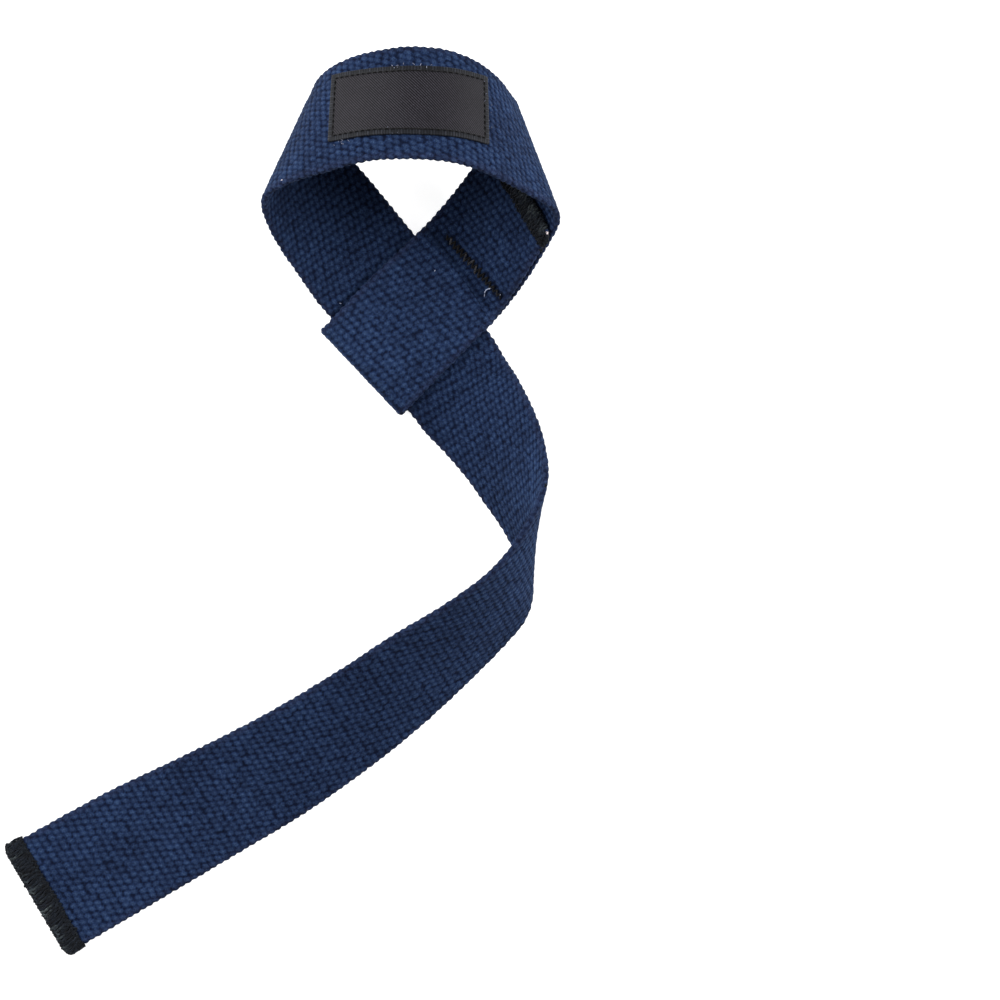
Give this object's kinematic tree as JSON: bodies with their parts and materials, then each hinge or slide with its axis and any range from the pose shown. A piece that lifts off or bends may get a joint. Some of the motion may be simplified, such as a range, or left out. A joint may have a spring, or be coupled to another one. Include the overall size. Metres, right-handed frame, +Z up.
{
  "type": "weightlifting strap",
  "caption": "Cotton webbing lifting strap with a wrist loop, a sewn sleeve that the webbing slides through and a half-twisted tail, lying on a surface",
  "frame": {"origin": "middle of the bottom of the bounding box, on the surface that the strap lies on", "axes": "+Z up off the surface, +Y from the free end of the tail to the wrist loop, +X to the right in the picture"},
  "size_m": [0.1774, 0.2844, 0.0651],
  "materials": {
    "webbing": "matte coarse woven cotton",
    "label": "slightly glossy fine twill",
    "thread": "matte sewing thread"
  },
  "bodies": {
    "root": {"webbing": "webbing", "label_patch": "label", "sleeve_seam": "thread", "tail_end_overlock": "thread", "sewn_end_overlock": "thread"}
  },
  "joints": []
}
